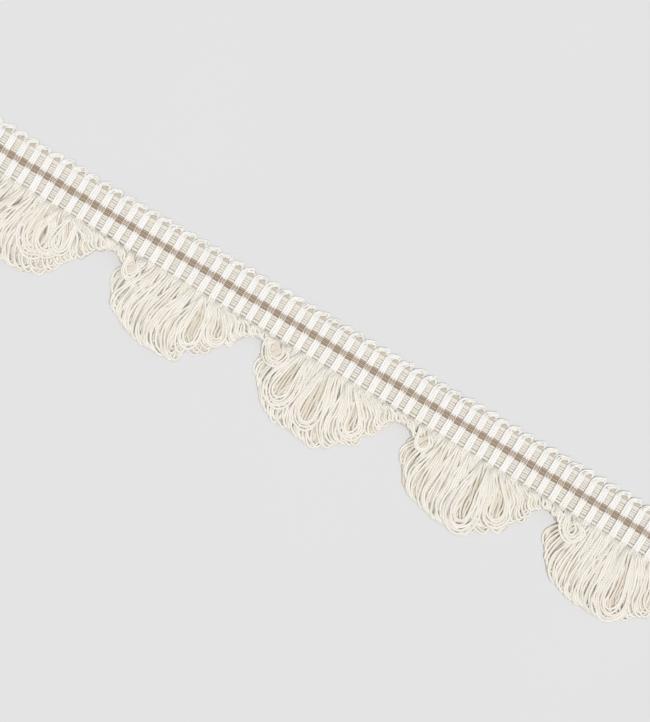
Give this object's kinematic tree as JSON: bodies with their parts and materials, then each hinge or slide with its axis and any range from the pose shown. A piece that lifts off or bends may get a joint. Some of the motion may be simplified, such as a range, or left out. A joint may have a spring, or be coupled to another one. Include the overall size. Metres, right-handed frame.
{
  "type": "loop-fringe braid trim",
  "caption": "Straight cut length of woven braid trim with raised crosswise bars, a narrow middle stripe, small picot loops along one edge and scalloped loop fringe along the other.",
  "frame": {"origin": "on the heading's flat back, under the centre line of the woven stripe, halfway along the length", "axes": "+X along the braid, +Y across it towards the picot loops, +Z out of the face"},
  "size_m": [0.259, 0.0386, 0.0022],
  "materials": {
    "cream_weave": "matte bands of fine warp with satin weft bars",
    "cream_yarn": "soft twisted yarn with a slight sheen"
  },
  "bodies": {
    "root": {"heading": "cream_weave", "picot_edge": "cream_yarn", "loop_fringe_1": "cream_yarn", "loop_fringe_2": "cream_yarn", "loop_fringe_3": "cream_yarn", "loop_fringe_4": "cream_yarn", "loop_fringe_5": "cream_yarn"}
  },
  "joints": []
}
